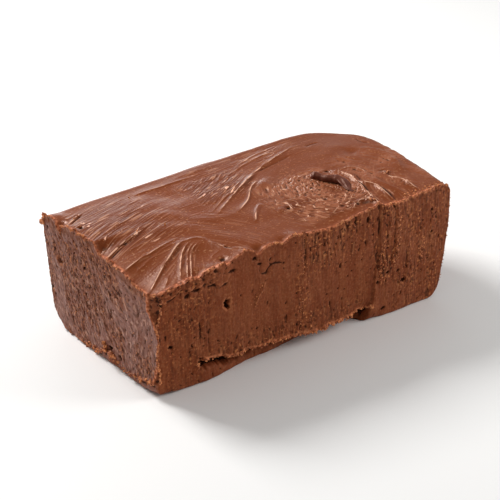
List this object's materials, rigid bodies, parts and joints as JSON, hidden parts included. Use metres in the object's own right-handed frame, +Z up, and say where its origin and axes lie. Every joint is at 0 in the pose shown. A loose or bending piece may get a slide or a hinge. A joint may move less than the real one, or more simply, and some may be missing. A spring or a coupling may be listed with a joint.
{
  "type": "chocolate fudge block",
  "caption": "Corner block of chocolate fudge with two knife-cut sides, two moulded sides and a swirled top, to eat, serve or pile on a plate.",
  "frame": {"origin": "middle of the block's box, on its flat base", "axes": "+X along the long cut side, from the cut end to the moulded end; +Y from the long cut side to the long moulded side; +Z up"},
  "size_m": [0.1112, 0.0608, 0.0385],
  "materials": {
    "fudge": "milk-chocolate brown, dull with soft grease on the knife-smoothed top, porous on the cut sides"
  },
  "bodies": {
    "root": {"fudge": "fudge"}
  },
  "joints": []
}
